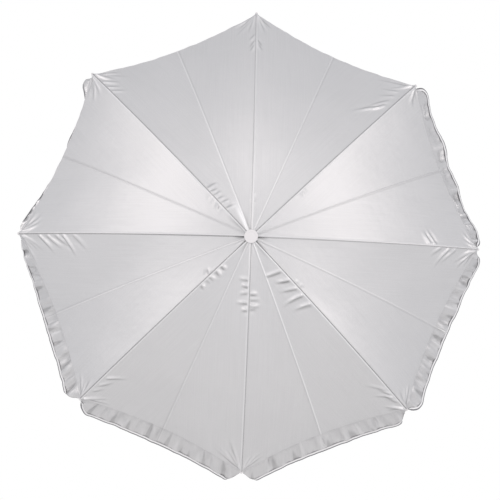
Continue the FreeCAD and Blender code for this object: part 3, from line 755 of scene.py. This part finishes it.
def flapRipple(k, side, place, low, reach, down, pinch):
    # gathers along the flap, and creases pressed into them: wedges, widest at the binding, with painted highlight
    # on the raised creases and painted shade in the pressed ones
    wave = hemWave(panelNumber(k, side) + flap["rippleSeed"], place, flap["rippleLengths"])
    sharp = np.sign(wave) * np.abs(wave) ** (1.0 - 0.5 * pinch)
    amount = np.where(low > 0, flap["rippleSide"] + (flap["rippleBottom"] - flap["rippleSide"]) * np.abs(low),
                      flap["rippleSide"] + (flap["rippleTop"] - flap["rippleSide"]) * np.abs(low))
    full = smooth(0.0, 0.03, reach)
    bulge = (np.sin(math.pi * down ** 0.85) + 0.12 * down)[:, None]  # the bound edge stays nearly straight
    ripple = bulge * (sharp * amount * full)[None, :]
    ripple -= bulge * (amount * (1 - smooth(-0.15, 0.25, low)) * full)[None, :]
    ripple *= 0.75 + 0.25 * np.sin(down[:, None] * 4.0 + place[None, :] * 60)
    upper = smooth(0.0, 0.5, -low)[None, :]
    ripple *= 1 - upper * (1 - smooth(0.2, 0.7, down))[:, None]
    slant = 0.004 * np.sin(place[None, :] * 31.0 + k) * down[:, None]
    crease = hemWave(panelNumber(k, side) + flap["creaseSeed"], place[None, :] + slant, flap["creaseLengths"])
    depth = (0.35 + 0.65 * pinch) * full[None, :] * (1 - 0.8 * upper)
    pressed = smooth(0.0, 0.4, crease - 1.05 + 0.85 * down[:, None]) * depth
    raised = smooth(0.0, 0.4, -crease - 1.0 + 0.7 * down[:, None]) * depth
    ripple += (raised - pressed) * flap["creaseHeight"] * np.sin(math.pi * down)[:, None]
    return ripple, flap["creaseHighlight"] * raised, flap["creaseShade"] * pressed


def flapTone(side, fromRib, down):
    (seam, seamWidth), (shadow, shadowAt, shadowWidth) = flap["seamTone"], flap["seamShadow"]
    fromMiddle = halfHem - fromRib
    tone = seam * bell(fromMiddle, seamWidth) - shadow * (side < 0) * bell(fromMiddle - shadowAt, shadowWidth)
    tone = tone[None] - 0.15 * bell(down - 0.02, 0.03)[:, None]  # the hem's shadow
    # painted shadow just above the binding
    return tone - flap["edgeTone"] * smooth(0.90, 0.97, down)[:, None]


def makeFlap(k, side):
    corner, along, middle, pinch = flapHabit.get((k, side), plainHabit)
    count = int((halfHem - flap["end"]) / flap["columnStep"])
    fromRib = np.linspace(flap["end"], halfHem, count)
    theta = np.full(count, rimAngle)
    hem, hemNormal = clothPoints(k, theta, fromRib, side)
    above = theta - flap["tuck"] / domeRadius
    tucked, _ = clothPoints(k, above, fromRib * halfWidthAt(above) / halfHem, side)
    hem, tucked = hem - hemNormal * flap["gap"], tucked - hemNormal * flap["gap"]
    outward = unit(hem * (1.0, 0.0, 1.0))
    low = -outward[:, 2]  # 1 at the bottom, -1 at the top
    cloth = unit(hem - tucked)
    hang = outward * flapLean(low, fromRib, corner, along, middle)[:, None]
    hang[:, 1] += 1.0
    hang = unit(hang)
    reach = flapDrop(fromRib)
    level = np.linspace(0, 1, flap["rows"])
    rows = [tucked, hem]
    spot = hem.copy()
    turnShare, turnSharper = flap["turn"]
    for i in range(1, flap["rows"]):
        turn = smooth(0.0, turnShare - turnSharper * smooth(0.0, 0.5, -low), level[i])
        heading = unit(cloth * (1 - turn)[:, None] + hang * turn[:, None])
        spot = spot + heading * (reach * (level[i] - level[i - 1]))[:, None]
        rows.append(spot)
    points = np.stack(rows)
    down = np.concatenate([[0.0], level])
    face = np.cross(unit(np.gradient(hem, axis=0)), hang)
    face = unit(face * np.sign(np.sum(face * hemNormal, axis=1))[:, None])
    place = -side * (halfHem - fromRib)
    ripple, light, dark = flapRipple(k, side, place, low, reach, down, pinch)
    points = points + ripple[..., None] * face[None]
    facing = np.repeat(face[None], len(points), axis=0)
    crinkle = noiseField(points, flap["crinkleSize"], 2.2) * flap["crinkleHeight"] * down[:, None]
    points = points + crinkle[..., None] * facing
    # painted light and shade of the middle seam, the hem and the creases
    tone = flapTone(side, fromRib, down) - dark + light
    flat = np.stack([np.repeat((side * fromRib)[None], len(points), 0),
                     rimAngle * domeRadius + down[:, None] * reach[None, :]], axis=-1)
    return points, facing, tone, flat, fromRib


binding = {
    "width": 0.0040, "depth": 0.0011, "hemWidth": 0.0009, "widening": 0.008, "sides": 16,
    # how far from the rib the tape comes into sight
    "start": 0.030,
    "starts": {(2, 1): 0.004, (4, -1): 0.004, (6, -1): 0.006, (3, -1): 0.006, (3, 1): 0.016, (4, 1): 0.022,
               (7, -1): 0.014, (1, -1): 0.012},
    "outerShade": (0.05, 0.35),  # where the painted shade on the outer edge starts and is full, across the tape
    "innerShade": (0.60, 0.85),
    "stitchPlace": 0.25,
}


def makeValance(k):
    vertices, faces, kinds, tones, places = [], [], [], [], []
    tapeVertices, tapeFaces, tapeShade = [], [], []
    stitchLines = []
    for side in (-1, 1):
        points, outward, tone, place, fromRib = makeFlap(k, side)
        inner = points - outward * flap["thickness"]
        some, more, kind = clothShell(points, inner, sum(len(v) for v in vertices))
        vertices.append(some)
        faces += more
        kinds += kind
        tones.append(np.tile(tone.ravel(), 2))
        places.append(np.tile(place.reshape(-1, 2), (2, 1)))
        edge = (points[-1] + inner[-1]) / 2
        start = binding["starts"].get((k, side), binding["start"])
        bound = fromRib >= start
        widen = smooth(0.0, binding["widening"], fromRib[bound] - start)
        width = binding["hemWidth"] + (binding["width"] - binding["hemWidth"]) * widen
        depth = np.minimum(width, binding["depth"])
        path, away = edge[bound], outward[-1][bound]
        tubeVertices, tubeFaces = tube(path, away, width, depth, binding["sides"])
        shift = sum(len(v) for v in tapeVertices)
        tapeVertices.append(tubeVertices)
        # painted shade on the tape towards its two folded edges, more on the outer one
        outerWay = unit(path - points[-2][bound])
        firstCorner = tubeVertices[::binding["sides"]] - path
        turns = 2 * math.pi * np.arange(binding["sides"]) / binding["sides"]
        outwards = np.cos(turns) * np.sign(np.sum(firstCorner * outerWay))
        shade = np.maximum(smooth(*binding["outerShade"], outwards), smooth(*binding["innerShade"], -outwards))
        tapeShade.append(np.tile(shade, len(tubeVertices) // binding["sides"]))
        tapeFaces += [tuple(i + shift for i in f) for f in tubeFaces]
        threadLine = path - outerWay * binding["stitchPlace"] * width[:, None] + away * depth[:, None]
        stitchLines.append((threadLine, away))
        stitchLines.append((points[3] + outward[3] * 0.0002, outward[3]))
    valance = meshObject(f"valance_cloth_{k}", np.concatenate(vertices), faces, (flapCloth, innerCloth), kinds)
    setMap(valance.data, "cloth", np.concatenate(places))
    setValue(valance.data, "seamTone", np.concatenate(tones))
    valance.data.set_sharp_from_angle(angle=math.radians(70))
    tape = meshObject(f"valance_binding_{k}", np.concatenate(tapeVertices), tapeFaces, (plain["whiteBindingTape"],))
    setValue(tape.data, "paintedEdgeShade", np.concatenate(tapeShade))
    return valance, tape, stitchLines


# stitches, laid along seam lines by geometry nodes

stitch = {
    "spacing": 0.0034, "length": 0.0024, "thread": 0.00022, "arch": 0.00022,
    "besideRib": 0.0015, "besideMiddle": 0.0018, "aboveHem": 0.0028, "first": 0.020, "above": 0.0001,
}


stitchInputs = {"Stitch Spacing": stitch["spacing"], "Stitch Length": stitch["length"],
                "Thread Radius": stitch["thread"], "Arch": stitch["arch"]}


def stitchTree():
    tree, given, made = newGroup("stitchRow", {"Geometry": "Geometry"} | stitchInputs | {"Thread": "Material"},
                                 {"Geometry": "Geometry"}, "Geometry")

    def step(kind, inputs, **settings):
        return put(tree, kind, inputs, **settings).outputs[0]

    lines = step("GeometryNodeMeshToCurve", {"Mesh": given["Geometry"]})
    spots = step("GeometryNodeResampleCurve", {"Curve": lines, "Length": given["Stitch Spacing"]}, mode="LENGTH")
    halfLength = maths(tree, "MULTIPLY", given["Stitch Length"], 0.5)
    arc = step("GeometryNodeCurveQuadraticBezier", {
        "Resolution": 3, "Start": step("ShaderNodeCombineXYZ", {"X": maths(tree, "MULTIPLY", halfLength, -1.0)}),
        "Middle": step("ShaderNodeCombineXYZ", {"Z": given["Arch"]}),
        "End": step("ShaderNodeCombineXYZ", {"X": halfLength})})
    ring = step("GeometryNodeCurvePrimitiveCircle", {"Resolution": 5, "Radius": given["Thread Radius"]},
                mode="RADIUS")
    one = step("GeometryNodeCurveToMesh", {"Curve": arc, "Profile Curve": ring, "Fill Caps": True})
    heading = step("GeometryNodeInputTangent", {})
    away = step("GeometryNodeInputNamedAttribute", {"Name": "away"}, data_type="FLOAT_VECTOR")
    turn = step("FunctionNodeAlignRotationToVector", {"Vector": heading}, axis="X")
    turn = step("FunctionNodeAlignRotationToVector", {"Rotation": turn, "Vector": away}, axis="Z", pivot_axis="X")
    laid = step("GeometryNodeInstanceOnPoints", {"Points": spots, "Instance": one, "Rotation": turn})
    real = step("GeometryNodeRealizeInstances", {"Geometry": laid})
    coloured = step("GeometryNodeSetMaterial", {"Geometry": real, "Material": given["Thread"]})
    tree.links.new(coloured, made[0])
    return tree


stitchNodes = stitchTree()


def makeStitches(name, lines, thread):
    points, edges, away = [], [], []
    for path, normals in lines:
        base = len(points)
        points += [tuple(p) for p in path]
        away += [tuple(n) for n in normals]
        edges += [(base + i, base + i + 1) for i in range(len(path) - 1)]
    mesh = bpy.data.meshes.new(name + "_lines")
    mesh.from_pydata(points, edges, [])
    attribute = mesh.attributes.new("away", "FLOAT_VECTOR", "POINT")
    attribute.data.foreach_set("vector", np.asarray(away, np.float32).ravel())
    piece = newObject(name, mesh)
    modifier = piece.modifiers.new("stitches", "NODES")
    modifier.node_group = stitchNodes
    values = stitchInputs | {"Thread": thread}
    for item in stitchNodes.interface.items_tree:
        if item.item_type == "SOCKET" and item.in_out == "INPUT" and item.name in values:
            modifier[item.identifier] = values[item.name]
    evaluated = piece.evaluated_get(bpy.context.evaluated_depsgraph_get())
    baked = bpy.data.meshes.new_from_object(evaluated)
    piece.modifiers.clear()
    piece.data = baked
    if not baked.materials:
        baked.materials.append(thread)
    return piece


def seamLines(k):
    rise = canopyGrid["thickness"] + stitch["above"]
    angles = np.linspace(stitch["first"], rimAngle * domeRadius - 0.001, 150) / domeRadius
    acrossHem = np.linspace(0.006, halfHem - 0.003, 90)
    runs = [(angles, np.full_like(angles, stitch["besideRib"])),
            (angles, halfWidthAt(angles) - stitch["besideMiddle"]),
            (np.full_like(acrossHem, rimAngle - stitch["aboveHem"] / domeRadius), acrossHem)]
    lines = []
    for side in (-1, 1):
        for theta, fromRib in runs:
            points, normals = clothPoints(k, theta, fromRib, side)
            lines.append((points + normals * rise, normals))
    return lines


def foldWith(piece, k):
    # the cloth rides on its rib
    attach(piece, f"rib_{k}")
    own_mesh(piece)


for k in range(1, umbrella["ribs"] + 1):
    valancePiece, tapePiece, tapeLines = makeValance(k)
    seamThread = makeStitches(f"seam_stitches_{k}", seamLines(k) + tapeLines[1::2],
                              plain["silverThread"])
    tapeThread = makeStitches(f"binding_stitches_{k}", tapeLines[::2], plain["whiteThread"])
    for piece in (valancePiece, tapePiece, seamThread, tapeThread):
        foldWith(piece, k)
    start = 0.0
    for name, (end, keep) in canopyLengths.items():
        angles, start = rowAngles(start, end), end
        canopyPiece = makeCanopy(name, angles, k)
        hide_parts(f"canopy_gores_{k}")
        foldWith(canopyPiece, k)
    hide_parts(f"valance_{k}")
print("canopy, valance, binding and stitches made")


# floor, light and camera

stage = {
    "floorHeight": -0.75, "floorRadius": 2.05,
    "floorFade": 1.3,  # from here the floor fades out
    "floorColour": (0.86, 0.86, 0.85, 1), "floorPatches": (0.90, 0.90, 0.89, 1),
    "skyLight": 0.69, "skyColour": (0.945, 0.955, 1.0, 1),
}
# soft lamps in pairs left and right of the camera: angle out, angle up, power
lamps = {
    "aim": (0.0, -0.45, 0.0), "distance": 2.6, "size": 1.0, "brightness": 1.08, "colour": (1.0, 0.93, 0.91),
    "pairs": [(28, 5, 2.3), (28, 25, 3.7), (50, 5, 4.8), (50, 28, 3.3), (28, -14, 1.3), (75, 5, 3.4)],
    "middle": [(0, 38, 0.4), (0, 62, 0.9)],
    "behind": [(146, 18, 5.0), (-146, 18, 5.0)],
}


def makeFloor():
    sides, rings = 96, (0.0, 0.7, stage["floorFade"], 1.7, stage["floorRadius"])
    vertices, faces = [(0.0, 0.0, stage["floorHeight"])], []
    for radius in rings[1:]:
        for i in range(sides):
            turn = 2 * math.pi * i / sides
            vertices.append((radius * math.cos(turn), radius * math.sin(turn), stage["floorHeight"]))
    for i in range(sides):
        faces.append((0, 1 + i, 1 + (i + 1) % sides))
    for r in range(len(rings) - 2):
        for i in range(sides):
            a, b = 1 + r * sides + i, 1 + r * sides + (i + 1) % sides
            faces.append((a, a + sides, b + sides, b))
    material, tree, shader = newMaterial("paleFloor", **{"Roughness": 0.8, "Specular IOR Level": 0.2})
    position = put(tree, "ShaderNodeTexCoord").outputs["Object"]
    cloud = cloudy(tree, position, 3.0, 3.0)
    colour = blendColour(tree, cloud, stage["floorColour"], stage["floorPatches"])
    tree.links.new(colour, shader.inputs["Base Color"])
    away = put(tree, "ShaderNodeVectorMath", {0: position}, operation="LENGTH")
    solid = put(tree, "ShaderNodeMapRange", {"Value": away.outputs["Value"], "From Min": stage["floorRadius"],
                                             "From Max": stage["floorFade"]})
    tree.links.new(solid.outputs[0], shader.inputs["Alpha"])
    floor = meshObject("floor", vertices, faces, (material,))


def direction(azimuth, elevation):
    a, e = math.radians(azimuth), math.radians(elevation)
    return Vector((math.sin(a) * math.cos(e), -math.cos(a) * math.cos(e), math.sin(e)))


def makeLamp(name, azimuth, elevation, power):
    lamp = bpy.data.lights.new(name, "AREA")
    lamp.shape, lamp.size, lamp.energy = "SQUARE", lamps["size"], power * lamps["brightness"]
    lamp.color = lamps["colour"]
    holder = newObject(name, lamp)
    towards = direction(azimuth, elevation)
    holder.location = Vector(lamps["aim"]) + towards * lamps["distance"]
    holder.rotation_euler = towards.to_track_quat("Z", "Y").to_euler()
    holder.visible_camera = False


def makeSky():
    world = bpy.data.worlds.new("studio")
    bpy.context.scene.world = world
    world.use_nodes = True
    tree = world.node_tree
    tree.nodes.clear()
    rays = put(tree, "ShaderNodeLightPath")
    seen = put(tree, "ShaderNodeBackground", {"Color": (1, 1, 1, 1), "Strength": 1.0})
    lit = put(tree, "ShaderNodeBackground", {"Color": stage["skyColour"], "Strength": stage["skyLight"]})
    both = put(tree, "ShaderNodeMixShader", {"Fac": rays.outputs["Is Camera Ray"]})
    tree.links.new(lit.outputs[0], both.inputs[1])
    tree.links.new(seen.outputs[0], both.inputs[2])
    end = put(tree, "ShaderNodeOutputWorld")
    tree.links.new(both.outputs[0], end.inputs["Surface"])


makeFloor()
makeSky()
for i, (out, up, power) in enumerate(lamps["pairs"]):
    makeLamp(f"leftLamp{i + 1}", -out, up, power)
    makeLamp(f"rightLamp{i + 1}", out, up, power)
for i, (out, up, power) in enumerate(lamps["middle"] + lamps["behind"]):
    makeLamp(f"singleLamp{i + 1}", out, up, power)

viewpoint = {"lens": 135.0, "distance": 3.90, "azimuth": -1.3, "elevation": -3.0, "roll": 1.9,
             "aim": (0.002, -0.40, -0.020)}


def makeCamera():
    camera = bpy.data.cameras.new("camera")
    camera.lens, camera.sensor_width = viewpoint["lens"], 36.0
    camera.clip_end = 50.0
    holder = newObject("camera", camera)
    back = direction(viewpoint["azimuth"], viewpoint["elevation"])
    holder.location = Vector(viewpoint["aim"]) + back * viewpoint["distance"]
    turn = back.to_track_quat("Z", "Y").to_matrix()
    roll = Vector((0, 0, 1))
    holder.rotation_euler = (turn @ Matrix.Rotation(math.radians(viewpoint["roll"]), 3, roll)).to_euler()
    bpy.context.scene.camera = holder


makeCamera()
bpy.context.scene.view_settings.view_transform = "Standard"
print("stage set")
